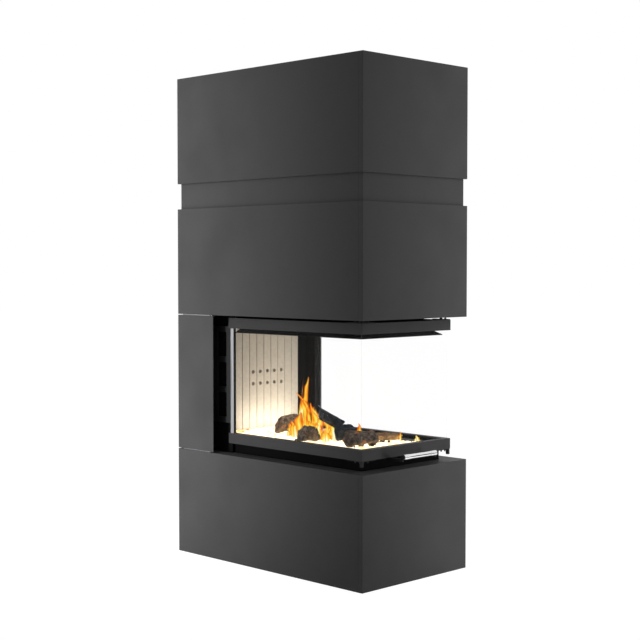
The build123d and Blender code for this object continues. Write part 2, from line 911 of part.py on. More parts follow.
# Door frame: hollow mitred bars above and below the glass
slot_outer = door_inset + glass_setback - glass_play
slot_inner = door_inset + glass_setback + glass_thickness + glass_play
for bar_name, z_low, slot_low in (
    ("bottom", door_low, door_low + bar_height - bar_wall),
    ("top", glass_high, glass_high),
):
    with BuildPart() as door_bar:
        with BuildSketch(Plane.XY.offset(z_low)):
            u_face(door_inset, bar_inset, door_rear)
        extrude(amount=bar_height)
        fillet(door_bar.edges().filter_by(Axis.Z).group_by(Axis.Y)[0], bend_radius)
        with BuildSketch(Plane.XY.offset(z_low + bar_wall)):
            u_face(door_inset + bar_wall, bar_inset - bar_wall, door_rear - bar_wall)
        extrude(amount=bar_height - 2 * bar_wall, mode=Mode.SUBTRACT)
        with BuildSketch(Plane.XY.offset(slot_low)):
            u_face(slot_outer, slot_inner, door_rear - channel_offset)
        extrude(amount=bar_wall, mode=Mode.SUBTRACT)
        mitre_slits(door_inset, bar_inset, z_low, z_low + bar_height)
    door_bar.part.label = f"door_{bar_name}_bar"
    export_step(door_bar.part, f"parts/door_{bar_name}_bar.step")

# Three glass panes, the clear joints at the front corners and the bright rear channels
pane_outer = door_inset + glass_setback
pane_inner = pane_outer + glass_thickness
pane_span = (glass_low - glass_bite, glass_high + glass_bite)
with BuildPart() as front_glass:
    block(
        (-half_width + pane_outer, half_width - pane_outer), (pane_outer, pane_inner), pane_span
    )
front_glass.part.label = "front_glass"
export_step(front_glass.part, "parts/front_glass.step")

channel_end = door_rear - channel_offset
with BuildPart() as side_glass:
    for _, sign in sides:
        block(
            across(sign, pane_outer, pane_inner),
            (pane_inner + glass_joint, channel_end - channel_width / 2),
            pane_span,
        )
side_glass.part.label = "side_glass"
export_step(side_glass.part, "parts/side_glass.step")

with BuildPart() as glass_joints:
    for _, sign in sides:
        block(
            across(sign, pane_outer, pane_inner),
            (pane_inner, pane_inner + glass_joint),
            (glass_low, glass_high),
        )
glass_joints.part.label = "glass_joints"
export_step(glass_joints.part, "parts/glass_joints.step")

channel_margin = (channel_thickness - glass_thickness) / 2
with BuildPart() as glass_channels:
    for _, sign in sides:
        block(
            across(sign, pane_outer - channel_margin, pane_inner + channel_margin),
            (channel_end - channel_width, channel_end),
            (glass_low, glass_high),
        )
        block(
            across(sign, pane_outer - glass_play, pane_inner + glass_play),
            (channel_end - channel_width, channel_end - channel_width / 2),
            (glass_low, glass_high),
            mode=Mode.SUBTRACT,
        )
glass_channels.part.label = "glass_channels"
export_step(glass_channels.part, "parts/glass_channels.step")

# Corner brackets above and below the frame, with studs and nuts, and a stop under each lower corner
bracket_start = door_inset + (bar_depth - bracket_width) / 2


def corner_bracket(sign, z_low):
    """L-shaped plate over one front corner of the door frame."""
    with BuildSketch(Plane.XY.offset(z_low)) as outline:
        near_x = sign * (half_width - bracket_start)
        inner_x = near_x - sign * bracket_width
        near_y = back(bracket_start)
        Polygon(
            (near_x, near_y),
            (near_x - sign * bracket_leg, near_y),
            (near_x - sign * bracket_leg, near_y + bracket_width),
            (inner_x, near_y + bracket_width),
            (inner_x, near_y + bracket_leg),
            (near_x, near_y + bracket_leg),
            align=None,
        )
    extrude(outline.sketch, amount=bracket_thickness)


with BuildPart() as corner_brackets:
    for _, sign in sides:
        corner_bracket(sign, door_high)
        corner_bracket(sign, door_low - bracket_thickness)
        block(
            across(sign, bracket_start, bracket_start + stop_size),
            (bracket_start, bracket_start + stop_size),
            (door_low - bracket_thickness - stop_height, door_low - bracket_thickness),
        )
corner_brackets.part.label = "corner_brackets"
export_step(corner_brackets.part, "parts/corner_brackets.step")

stud_line = bracket_start + bracket_width / 2
stud_places = []
for _, sign in sides:
    for reach in (stud_near, stud_far):
        along = door_inset + reach
        stud_places.append((sign * (half_width - along), back(stud_line)))
        stud_places.append((sign * (half_width - stud_line), back(along)))
with BuildPart() as frame_studs:
    for z_face, direction in (
        (door_high + bracket_thickness, 1),
        (door_low - bracket_thickness, -1),
    ):
        for radius, height, corners in ((nut_radius, nut_height, 6), (stud_radius, stud_height, 8)):
            with BuildSketch(Plane.XY.offset(z_face)):
                with Locations(*stud_places):
                    RegularPolygon(radius, corners)
            extrude(amount=direction * height)
frame_studs.part.label = "frame_studs"
export_step(frame_studs.part, "parts/frame_studs.step")

# Handle tube with bright end sleeves, on two flat arms under the bottom bar
handle_axis = Plane(origin=(0, front_y - handle_proud, handle_z), z_dir=(1, 0, 0))
half_handle = handle_length / 2
with BuildPart() as handle_tube:
    with BuildSketch(handle_axis.offset(-half_handle)):
        Circle(handle_radius)
        Circle(handle_radius - handle_wall, mode=Mode.SUBTRACT)
    extrude(amount=handle_length)
handle_tube.part.label = "handle_tube"
export_step(handle_tube.part, "parts/handle_tube.step")

with BuildPart() as handle_sleeves:
    for start in (-half_handle, half_handle - sleeve_length):
        with BuildSketch(handle_axis.offset(start)):
            Circle(sleeve_radius)
            Circle(handle_radius, mode=Mode.SUBTRACT)
        extrude(amount=sleeve_length)
handle_sleeves.part.label = "handle_sleeves"
export_step(handle_sleeves.part, "parts/handle_sleeves.step")

with BuildPart() as handle_arms:
    for start in (-half_handle - arm_thickness, half_handle):
        arm_plane = Plane(origin=(start, 0, 0), x_dir=(0, 1, 0), z_dir=(1, 0, 0))
        with BuildSketch(arm_plane):
            with Locations((front_y - handle_proud, handle_z)):
                Circle(handle_radius)
            with BuildLine():
                Polyline(
                    (front_y - handle_proud, door_low - arm_height),
                    (back(bar_inset - 2.0), door_low - arm_height),
                    (back(bar_inset - 2.0), door_low),
                    (front_y - handle_proud + handle_radius, door_low),
                    (front_y - handle_proud, handle_z),
                    close=True,
                )
            make_face()
        extrude(amount=arm_thickness)
handle_arms.part.label = "handle_arms"
export_step(handle_arms.part, "parts/handle_arms.step")

# Carriages: a plate behind each side pane, and two bored blocks that run on the guide rod
plate_outer = door_inset + 9.0
cable_slot = 2 * (cable_radius + cable_play)
window_margin = 26.0
windows = 3
bush_size = 2 * (rod_radius + running_fit + bush_wall)
window_height = (block_high - block_low - window_margin) / windows - window_margin
with BuildPart() as carriages:
    for _, sign in sides:
        plate_x = across(sign, plate_outer, plate_outer + carriage_plate)
        block(plate_x, (channel_end, door_rear), (glass_low, glass_high))
        block(plate_x, (door_rear, block_face), (block_low, block_high))
        for step in range(windows):
            window_low = block_low + window_margin + step * (window_height + window_margin)
            block(
                plate_x,
                (door_rear + window_margin, block_face - window_margin),
                (window_low, window_low + window_height),
                mode=Mode.SUBTRACT,
            )
        for z_low in (block_low, block_high - block_height):
            block(
                across(sign, mech_inset - block_wall, cheek_inset - 2.0),
                (block_face, block_back),
                (z_low, z_low + block_height),
            )
        with BuildSketch(Plane.XY.offset(block_low)):
            with Locations((sign * (half_width - mech_inset), back(rod_depth))):
                Rectangle(bush_size, bush_size)
            with Locations((sign * (half_width - mech_inset), back(cable_front))):
                Rectangle(cable_slot, cable_slot)
        extrude(amount=block_high - block_low, mode=Mode.SUBTRACT)
carriages.part.label = "carriages"
export_step(carriages.part, "parts/carriages.step")

with BuildPart() as guide_bushes:
    for _, sign in sides:
        for z_low in (block_low, block_high - block_height):
            with BuildSketch(Plane.XY.offset(z_low)):
                with Locations((sign * (half_width - mech_inset), back(rod_depth))):
                    Rectangle(bush_size, bush_size)
                    Circle(rod_radius + running_fit, mode=Mode.SUBTRACT)
            extrude(amount=block_height)
guide_bushes.part.label = "guide_bushes"
export_step(guide_bushes.part, "parts/guide_bushes.step")

# Guide rods between the lower and upper bearing brackets, which also carry the lower sheaves' axles
with BuildPart() as guide_rods:
    with BuildSketch(Plane.XY.offset(rod_low)):
        for _, sign in sides:
            with Locations((sign * (half_width - mech_inset), back(rod_depth))):
                Circle(rod_radius)
    extrude(amount=rod_high - rod_low)
guide_rods.part.label = "guide_rods"
export_step(guide_rods.part, "parts/guide_rods.step")

seat_size = 2 * (shaft_radius + running_fit + bush_wall)
axle_start = mech_inset - sheave_width / 2 - axle_margin
axle_collar = 5.0
bracket_levels = ((rod_low - shelf_thickness, low_axle), (rod_high, high_axle))
shelf_x = mech_inset - block_wall
with BuildPart() as bearing_brackets:
    for shelf_low, axle_z in bracket_levels:
        for _, sign in sides:
            block(
                across(sign, shelf_x, cheek_inset - 2.0),
                (block_face, cable_front - cable_radius - 6.0),
                (shelf_low, shelf_low + shelf_thickness),
            )
            block(
                across(sign, cheek_inset - 2.0, plate_inset),
                (cable_front - 18.0, cable_front - cable_radius - 6.0),
                (shelf_low, shelf_low + shelf_thickness),
            )
            block(
                across(sign, plate_inset, plate_inset + bearing_plate),
                (block_face, post_front),
                (shelf_low, axle_z + shelf_to_axle),
            )
    seat_plane = Plane(origin=(-half_width, back(axle_depth), high_axle), z_dir=(1, 0, 0))
    with BuildSketch(seat_plane):
        Rectangle(seat_size, seat_size)
    extrude(amount=casing_width, mode=Mode.SUBTRACT)
    for _, sign in sides:
        for radius, span in (
            (axle_radius, across(sign, axle_start, plate_inset)),
            (axle_radius + 4.0, across(sign, axle_start, axle_start + axle_collar)),
        ):
            axle_plane = Plane(origin=(span[0], back(axle_depth), low_axle), z_dir=(1, 0, 0))
            with BuildSketch(axle_plane):
                Circle(radius)
            extrude(amount=span[1] - span[0])
bearing_brackets.part.label = "bearing_brackets"
export_step(bearing_brackets.part, "parts/bearing_brackets.step")

with BuildPart() as shaft_bushes:
    for _, sign in sides:
        start = across(sign, plate_inset, plate_inset + bearing_plate)[0]
        bush_plane = Plane(origin=(start, back(axle_depth), high_axle), z_dir=(1, 0, 0))
        with BuildSketch(bush_plane):
            Rectangle(seat_size, seat_size)
            Circle(shaft_radius + running_fit, mode=Mode.SUBTRACT)
        extrude(amount=bearing_plate)
shaft_bushes.part.label = "shaft_bushes"
export_step(shaft_bushes.part, "parts/shaft_bushes.step")


def sheave(centre_x, axle_z, bore_radius):
    """Cable sheave with a V groove, turning about X."""
    centre = (centre_x, back(axle_depth), axle_z)
    groove_floor = pitch_radius - cable_radius - cable_play
    with BuildPart() as wheel:
        with BuildSketch(Plane(origin=centre, x_dir=(1, 0, 0), z_dir=(0, -1, 0))):
            Polygon(
                (-sheave_width / 2, bore_radius),
                (sheave_width / 2, bore_radius),
                (sheave_width / 2, sheave_radius),
                (sheave_width / 2 - sheave_rim, sheave_radius),
                (cable_radius + cable_play, groove_floor),
                (-cable_radius - cable_play, groove_floor),
                (-sheave_width / 2 + sheave_rim, sheave_radius),
                (-sheave_width / 2, sheave_radius),
                align=None,
            )
        revolve(axis=Axis(centre, (1, 0, 0)))
    return wheel


for sheave_level, axle_z, bore_radius in (
    ("top", high_axle, shaft_radius),
    ("lower", low_axle, axle_radius + running_fit),
):
    wheels = [sheave(sign * (half_width - mech_inset), axle_z, bore_radius) for _, sign in sides]
    with BuildPart() as sheave_pair:
        for wheel in wheels:
            add(wheel.part)
    sheave_pair.part.label = f"{sheave_level}_sheaves"
    export_step(sheave_pair.part, f"parts/{sheave_level}_sheaves.step")

with BuildPart() as sync_shaft:
    shaft_half = half_width - axle_start
    shaft_plane = Plane(origin=(-shaft_half, back(axle_depth), high_axle), z_dir=(1, 0, 0))
    with BuildSketch(shaft_plane):
        Circle(shaft_radius)
    extrude(amount=2 * shaft_half)
sync_shaft.part.label = "sync_shaft"
export_step(sync_shaft.part, "parts/sync_shaft.step")

# Closed cable loops over the upper and lower sheaves
cable_corners = 6
with BuildPart() as lift_cables:
    for _, sign in sides:
        cable_x = sign * (half_width - mech_inset)
        with BuildSketch(Plane.XY.offset(low_axle)):
            with Locations((cable_x, back(cable_front)), (cable_x, back(cable_rear))):
                RegularPolygon(cable_radius, cable_corners)
        extrude(amount=high_axle - low_axle)
        for axle_z, turn in ((high_axle, -180), (low_axle, 180)):
            with BuildSketch(Plane.XY.offset(axle_z)):
                with Locations((cable_x, back(cable_front))):
                    RegularPolygon(cable_radius, cable_corners)
            axis = Axis((cable_x, back(axle_depth), axle_z), (1, 0, 0))
            revolve(axis=axis, revolution_arc=turn)
lift_cables.part.label = "lift_cables"
export_step(lift_cables.part, "parts/lift_cables.step")

# Counterweights: stacked steel plates round the rear run of each cable
weight_length = weight_high - weight_low
plate_pitch = weight_length / weight_plates
for side, sign in sides:
    weight_x = sign * (half_width - mech_inset)
    with BuildPart() as counterweight:
        with Locations((weight_x, back(cable_rear), weight_low)):
            Box(
                weight_width,
                weight_depth,
                weight_length,
                align=(Align.CENTER, Align.CENTER, Align.MIN),
            )
        chamfer(counterweight.edges().filter_by(Axis.Z), 4.0)
        for step in range(1, weight_plates):
            with BuildSketch(Plane.XY.offset(weight_low + step * plate_pitch - groove / 2)):
                with Locations((weight_x, back(cable_rear))):
                    Rectangle(weight_width, weight_depth)
                    Rectangle(
                        weight_width - 2 * groove, weight_depth - 2 * groove, mode=Mode.SUBTRACT
                    )
            extrude(amount=groove, mode=Mode.SUBTRACT)
        with BuildSketch(Plane.XY.offset(weight_low)):
            with Locations((weight_x, back(cable_rear))):
                Rectangle(cable_slot, cable_slot)
        extrude(amount=weight_length, mode=Mode.SUBTRACT)
    counterweight.part.label = f"{side}_counterweight"
    export_step(counterweight.part, f"parts/{side}_counterweight.step")

# Logs: irregular split lengths, each laid on the embers or leaned on its neighbours
log_seat = 0.3
log_taper = 2.0
log_shapes = {
    "back_log": ((-55, 790), (60, 775), 0.0, 0.0, 34.0, 5),
    "left_log": ((-192, 470), (-105, 415), 0.0, 0.0, 42.0, 5),
    "middle_log": ((-70, 392), (5, 352), 0.0, 0.0, 38.0, 6),
    "front_log": ((-176, 205), (-20, 172), 0.0, 0.0, 36.0, 5),
    "thin_log": ((-2, 245), (150, 226), 0.0, 0.0, 20.0, 6),
    "leaning_log": ((-150, 462), (-18, 380), 100.0, 63.0, 20.0, 8),
}
for log_name, (start, end, lift_start, lift_end, radius, corners) in log_shapes.items():
    axis_start = Vector(start[0], back(start[1]), ember_high + log_seat + radius + lift_start)
    axis_end = Vector(end[0], back(end[1]), ember_high + log_seat + radius + lift_end)
    run = axis_end - axis_start
    end_plane = Plane(origin=axis_start, x_dir=(run.Y, -run.X, 0), z_dir=run)
    with BuildPart() as log:
        with BuildSketch(end_plane):
            RegularPolygon(radius, corners, rotation=90)
        extrude(amount=run.length, taper=log_taper)
    log.part.label = log_name
    export_step(log.part, f"parts/{log_name}.step")
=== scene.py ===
"""Looks of the three-sided fireplace insert: paint, glass, ceramic, chrome, logs, embers and flames."""

import math
import random

import bmesh
import bpy
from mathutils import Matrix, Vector, noise


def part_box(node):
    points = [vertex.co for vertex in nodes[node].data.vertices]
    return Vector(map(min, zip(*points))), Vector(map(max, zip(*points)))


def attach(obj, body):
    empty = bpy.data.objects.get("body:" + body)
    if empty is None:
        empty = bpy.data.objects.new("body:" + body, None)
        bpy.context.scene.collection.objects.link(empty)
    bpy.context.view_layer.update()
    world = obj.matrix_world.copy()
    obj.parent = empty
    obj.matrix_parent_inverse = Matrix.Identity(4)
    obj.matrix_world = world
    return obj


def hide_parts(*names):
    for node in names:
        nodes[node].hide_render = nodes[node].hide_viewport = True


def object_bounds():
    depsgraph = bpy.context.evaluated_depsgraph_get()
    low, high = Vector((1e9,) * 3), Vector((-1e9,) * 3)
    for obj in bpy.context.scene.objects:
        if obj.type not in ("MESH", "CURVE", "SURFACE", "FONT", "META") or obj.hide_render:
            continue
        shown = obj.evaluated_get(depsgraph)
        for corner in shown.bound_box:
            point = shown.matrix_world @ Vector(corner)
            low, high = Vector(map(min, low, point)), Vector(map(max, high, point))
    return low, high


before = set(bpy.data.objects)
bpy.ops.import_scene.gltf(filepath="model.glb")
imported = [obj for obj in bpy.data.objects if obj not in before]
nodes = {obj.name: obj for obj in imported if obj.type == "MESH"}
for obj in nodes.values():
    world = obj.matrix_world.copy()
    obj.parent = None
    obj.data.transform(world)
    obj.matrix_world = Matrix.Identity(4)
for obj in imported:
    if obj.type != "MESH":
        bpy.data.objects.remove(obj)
cad_low, cad_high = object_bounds()
collection = bpy.context.scene.collection


# Materials

def material(name, color, metallic=0.0, roughness=0.5, specular=0.5):
    """A new node material with its constant values on the shader's own sockets."""
    made = bpy.data.materials.new(name)
    made.use_nodes = True
    shader = made.node_tree.nodes["Principled BSDF"]
    shader.inputs["Base Color"].default_value = (*color, 1.0)
    shader.inputs["Metallic"].default_value = metallic
    shader.inputs["Roughness"].default_value = roughness
    shader.inputs["Specular IOR Level"].default_value = specular
    return made, made.node_tree, shader


def add_node(tree, kind, settings=None, **values):
    """A new node, with its properties and the values of its input sockets."""
    made = tree.nodes.new(kind)
    for key, value in (settings or {}).items():
        setattr(made, key, value)
    for key, value in values.items():
        made.inputs[key.replace("_", " ")].default_value = value
    return made


def noise_node(tree, scale, detail=3.0, stretch=(1.0, 1.0, 1.0), rough=0.5):
    """Noise over object coordinates, stretched along the axes."""
    coordinates = add_node(tree, "ShaderNodeTexCoord")
    mapping = add_node(tree, "ShaderNodeMapping", Scale=stretch)
    texture = add_node(tree, "ShaderNodeTexNoise", Scale=scale, Detail=detail, Roughness=rough)
    tree.links.new(coordinates.outputs["Object"], mapping.inputs["Vector"])
    tree.links.new(mapping.outputs["Vector"], texture.inputs["Vector"])
    return texture.outputs["Fac"]


def ramp(tree, source, stops):
    """Colour ramp over a value; stops are (position, colour)."""
    made = add_node(tree, "ShaderNodeValToRGB")
    band = made.color_ramp
    while len(band.elements) < len(stops):
        band.elements.new(0.5)
    for element, (position, color) in zip(band.elements, stops):
        element.position = position
        element.color = (*color, 1.0)
    tree.links.new(source, made.inputs["Fac"])
    return made.outputs["Color"]


def map_range(tree, source, low, high, to_low, to_high):
    """Value mapped from one range to another, clamped."""
    made = add_node(tree, "ShaderNodeMapRange")
    for key, value in (
        ("From Min", low), ("From Max", high), ("To Min", to_low), ("To Max", to_high)
    ):
        made.inputs[key].default_value = value
    tree.links.new(source, made.inputs["Value"])
    return made.outputs["Result"]


def bump(tree, shader, height, distance, strength=1.0):
    """Bump on a shader from a height value, its distance in metres."""
    made = add_node(tree, "ShaderNodeBump", Strength=strength, Distance=distance)
    tree.links.new(height, made.inputs["Height"])
    tree.links.new(made.outputs["Normal"], shader.inputs["Normal"])


def paint(name, color, roughness, specular, grain=900.0, depth=0.00004, vary=0.12):
    """Powder-coated or brushed-on paint: fine orange peel, soft blotches in colour and gloss."""
    made, tree, shader = material(name, color, roughness=roughness, specular=specular)
    blotch = noise_node(tree, 5.0, 4.0)
    dark = tuple(c * (1 - vary) for c in color)
    light = tuple(c * (1 + vary) for c in color)
    tint = ramp(tree, blotch, [(0.3, dark), (0.7, light)])
    tree.links.new(tint, shader.inputs["Base Color"])
    gloss = map_range(tree, blotch, 0.3, 0.7, roughness - 0.05, roughness + 0.05)
    tree.links.new(gloss, shader.inputs["Roughness"])
    bump(tree, shader, noise_node(tree, grain, 2.0), depth)
    return made


def metal(name, color, roughness, stretch=(1.0, 1.0, 1.0), scale=160.0, depth=0.00002):
    """Metal with a brushed or turned grain along one axis and slightly uneven gloss."""
    made, tree, shader = material(name, color, metallic=1.0, roughness=roughness)
    grain = noise_node(tree, scale, 5.0, stretch)
    dark = tuple(c * 0.86 for c in color)
    tint = ramp(tree, grain, [(0.3, dark), (0.7, color)])
    tree.links.new(tint, shader.inputs["Base Color"])
    gloss = map_range(tree, grain, 0.3, 0.7, roughness * 0.8, roughness * 1.25)
    tree.links.new(gloss, shader.inputs["Roughness"])
    bump(tree, shader, grain, depth)
    return made


def mineral(name, dark, light, roughness, scale, depth):
    """Brick, ceramic, rope or rough casting: two tones of noise with a matching bump."""
    made, tree, shader = material(name, light, roughness=roughness, specular=0.3)
    grain = noise_node(tree, scale, 8.0, rough=0.65)
    tree.links.new(ramp(tree, grain, [(0.32, dark), (0.68, light)]), shader.inputs["Base Color"])
    bump(tree, shader, grain, depth)
    return made


def glass(name, color, alpha, roughness):
    """Clear pane: mostly see-through, with the gloss of its surface."""
    made, tree, shader = material(name, color, roughness=roughness, specular=0.5)
    shader.inputs["Alpha"].default_value = alpha
    smear = map_range(tree, noise_node(tree, 9.0, 2.0), 0.3, 0.7, roughness, roughness + 0.03)
    tree.links.new(smear, shader.inputs["Roughness"])
    made.surface_render_method = "BLENDED"
    return made


casing_paint = paint("casing_paint", (0.045, 0.045, 0.046), 0.5, 0.12)
door_paint = paint("door_paint", (0.037, 0.037, 0.038), 0.45, 0.1)
stove_paint = paint("stove_paint", (0.003, 0.003, 0.003), 0.7, 0.04)
frame_paint = paint("frame_steel", (0.008, 0.008, 0.009), 0.6, 0.2)
trim_paint = paint("trim_paint", (0.002, 0.002, 0.002), 0.65, 0.04)
border_paint = paint("border_paint", (0.05, 0.05, 0.052), 0.4, 0.4)
clear_glass = glass("clear_glass", (0.90, 0.91, 0.91), 0.008, 0.02)
clear_joint = glass("clear_joint", (0.90, 0.90, 0.88), 0.06, 0.25)
bright_channel = metal("bright_channel", (0.36, 0.36, 0.37), 0.35, (1.0, 1.0, 0.02))
chrome = metal("chrome_tube", (0.82, 0.82, 0.83), 0.08, (0.02, 1.0, 1.0), 60.0, 0.000004)
satin_steel = metal("satin_steel", (0.78, 0.78, 0.78), 0.22, (0.02, 1.0, 1.0))
machined_steel = metal("machined_steel", (0.42, 0.42, 0.43), 0.3, (1.0, 1.0, 0.05))
bronze = metal("bronze", (0.55, 0.36, 0.16), 0.35)
zinc_steel = metal("zinc_steel", (0.42, 0.42, 0.43), 0.38)
black_steel = metal("black_steel", (0.03, 0.03, 0.032), 0.45)
weight_steel = mineral("weight_steel", (0.03, 0.03, 0.03), (0.07, 0.07, 0.07), 0.6, 220.0, 0.0003)
cast_grate = mineral("cast_grate", (0.015, 0.013, 0.012), (0.05, 0.045, 0.04), 0.7, 300.0, 0.0003)
fire_brick = mineral("fire_brick", (0.30, 0.25, 0.18), (0.46, 0.40, 0.30), 0.85, 90.0, 0.0006)
vermiculite = mineral("vermiculite", (0.36, 0.30, 0.21), (0.52, 0.45, 0.34), 0.85, 140.0, 0.0005)
ceramic = mineral("ceramic", (0.41, 0.395, 0.36), (0.48, 0.465, 0.43), 0.6, 60.0, 0.0002)
glass_rope = mineral("glass_rope", (0.012, 0.012, 0.012), (0.04, 0.04, 0.04), 0.9, 500.0, 0.0008)


looks = {
    casing_paint: (
        "base_front_panel", "base_side_panels", "base_top_plate", "column_panels",
        "hood_front_panel", "hood_side_panels", "band_panels", "upper_front_panel",
        "upper_side_panels", "top_plate",
    ),
    door_paint: ("door_bottom_bar", "door_top_bar"),
    stove_paint: (
        "floor_tray", "air_box", "air_slide", "ash_pan", "rear_shell", "dome_frame",
        "smoke_dome", "seal_plate",
    ),
    trim_paint: ("air_wash_trim",),
    border_paint: ("hearth_border",),
    frame_paint: (
        "rear_frame", "stand", "corner_brackets", "handle_arms", "carriages",
        "bearing_brackets",
    ),
    clear_glass: ("front_glass", "side_glass"),
    clear_joint: ("glass_joints",),
    bright_channel: ("glass_channels",),
    chrome: ("handle_tube",),
    satin_steel: ("handle_sleeves",),
    machined_steel: ("guide_rods", "top_sheaves", "sync_shaft", "lower_sheaves"),
    bronze: ("guide_bushes", "shaft_bushes"),
    zinc_steel: ("gap_spacers", "screw_feet", "heat_shield", "lift_cables"),
    black_steel: ("frame_studs",),
    weight_steel: ("left_counterweight", "right_counterweight"),
    cast_grate: ("fire_grate",),
    fire_brick: ("fire_bricks",),
    vermiculite: ("baffles",),
    ceramic: ("ceramic_panel",),
    glass_rope: ("rope_seals",),
}
for look, members in looks.items():
    for member in members:
        for slot in nodes[member].material_slots:
            slot.material = look


# Materials of the fire

def heat_material(name, dark, stops, glow_stops, strength, scale, depth, stretch=(1, 1, 1)):
    """Charred or glowing solid: its colour and its glow both follow one noise."""
    made, tree, shader = material(name, dark, roughness=0.85, specular=0.2)
    grain = noise_node(tree, scale, 9.0, stretch, 0.62)
    tree.links.new(ramp(tree, grain, stops), shader.inputs["Base Color"])
    glow = noise_node(tree, scale * 0.35, 6.0, stretch, 0.6)
    tree.links.new(ramp(tree, glow, glow_stops), shader.inputs["Emission Color"])
    shader.inputs["Emission Strength"].default_value = strength
    bump(tree, shader, grain, depth)
    return made


black = (0.0, 0.0, 0.0)
bark = heat_material(
    "bark",
    (0.12, 0.085, 0.055),
    [(0.30, (0.020, 0.015, 0.012)), (0.5, (0.105, 0.078, 0.060)), (0.72, (0.28, 0.225, 0.18))],
    [(0.60, black), (0.72, (0.5, 0.12, 0.01)), (0.8, (1.0, 0.45, 0.08))],
    0.8,
    70.0,
    0.0022,
)
pale_bark = heat_material(
    "pale_bark",
    (0.2, 0.14, 0.08),
    [(0.30, (0.05, 0.03, 0.02)), (0.5, (0.22, 0.13, 0.065)), (0.7, (0.48, 0.33, 0.18))],
    [(0.58, black), (0.7, (0.6, 0.16, 0.01)), (0.8, (1.0, 0.5, 0.1))],
    0.8,
    60.0,
    0.0022,
)
char = heat_material(
    "char",
    (0.01, 0.012, 0.015),
    [(0.32, (0.002, 0.002, 0.003)), (0.5, (0.014, 0.017, 0.022)), (0.7, (0.075, 0.085, 0.10))],
    [(0.62, black), (0.72, (0.6, 0.14, 0.01)), (0.8, (1.0, 0.5, 0.08))],
    0.7,
    55.0,
    0.0028,
)
embers = heat_material(
    "embers",
    (0.25, 0.12, 0.05),
    [(0.3, (0.03, 0.02, 0.015)), (0.5, (0.35, 0.2, 0.1)), (0.7, (0.6, 0.5, 0.38))],
    [(0.31, (0.35, 0.07, 0.01)), (0.38, (1.0, 0.55, 0.16)), (0.46, (1.0, 0.84, 0.50)),
     (0.6, (1.0, 0.95, 0.76))],
    1.7,
    70.0,
    0.003,
)


def new_piece(name, verts, faces, look, body="insert", smooth=True):
    """A mesh object that rides on a body of the part, with the given look as its material."""
    mesh = bpy.data.meshes.new(name)
    mesh.from_pydata([tuple(v) for v in verts], [], faces)
    mesh.update()
    mesh.materials.append(look)
    for polygon in mesh.polygons:
        polygon.use_smooth = smooth
    piece = bpy.data.objects.new(name, mesh)
    collection.objects.link(piece)
    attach(piece, body)
    return piece


def sleeve(base, rings, around):
    """Faces between rings of vertices that follow one another from a base index."""
    faces = []
    for i in range(rings):
        a, b = base + i * around, base + (i + 1) * around
        for j in range(around):
            k = (j + 1) % around
            faces.append((a + j, a + k, b + k, b + j))
    return faces


# Logs

casing_depth = 1.18
front_face = cad_high.y - casing_depth
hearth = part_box("ember_bed")[1].z


def section_point(section, per_side, j):
    """Point j round a polygon whose corners lie at the given distances from its middle."""
    corner, part = divmod(j, per_side)
    part /= per_side
    angle = math.tau * corner / len(section)
    following = math.tau * (corner + 1) / len(section)
    near, far = section[corner], section[(corner + 1) % len(section)]
    x = near * math.cos(angle) * (1 - part) + far * math.cos(following) * part
    y = near * math.sin(angle) * (1 - part) + far * math.sin(following) * part
    return x, y


def close_ends(verts, faces, rings, around, axis):
    """Fan of faces over each cut end, its middle a little proud of the rim."""
    proud = 0.003
    for ring, order in ((0, 1), (rings, -1)):
        hub = len(verts)
        rim = [verts[ring * around + j] for j in range(around)]
        verts.append(sum(rim, Vector()) / around - axis * (proud * order))
        for j in range(around):
            k = (j + 1) % around
            corners = (ring * around + k, ring * around + j, hub)
            faces.append(corners if order > 0 else corners[::-1])


def split_log(node, start, end, radius, section, look, seed, rough=0.09, taper=0.15):
    """Split log in place of its solid: a polygonal section swept with chips and cut ends.

    The start and end are a place across, a depth behind the front face and a height above the embers.
    """
    first, last = (Vector((x, front_face + depth, hearth + z)) for x, depth, z in (start, end))
    axis = (last - first).normalized()
    length = (last - first).length
    side = axis.cross(Vector((0, 0, 1))).normalized()
    up = side.cross(axis).normalized()
    rings, per_side = 16, 3
    around = len(section) * per_side
    end_scale, full_twist, end_slant = 0.86, 0.25, 0.25
    verts = []
    for i in range(rings + 1):
        t = i / rings
        shrink = (1 - taper * t) * (end_scale if i in (0, rings) else 1.0)
        twist = full_twist * t + seed
        for j in range(around):
            flat_x, flat_y = section_point(section, per_side, j)
            place = Vector((flat_x * 2.0, flat_y * 2.0, t * 3.0 + seed * 7))
            chips = noise.noise(place) * rough * 2 + noise.noise(place * 3.1) * rough
            reach = radius * shrink * (1 + chips)
            slant = (flat_x + flat_y) * end_slant * radius * (1 - 2 * t)
            turned_x = flat_x * math.cos(twist) - flat_y * math.sin(twist)
            turned_y = flat_x * math.sin(twist) + flat_y * math.cos(twist)
            along = first + axis * (length * t + slant)
            verts.append(along + side * (reach * turned_x) + up * (reach * turned_y))
    faces = sleeve(0, rings, around)
    close_ends(verts, faces, rings, around, axis)
    sunk = 0.012
    for v in verts:
        v.z = max(v.z, hearth - sunk)
    piece = new_piece(f"split_{node}", verts, faces, look, smooth=False)
    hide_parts(node)


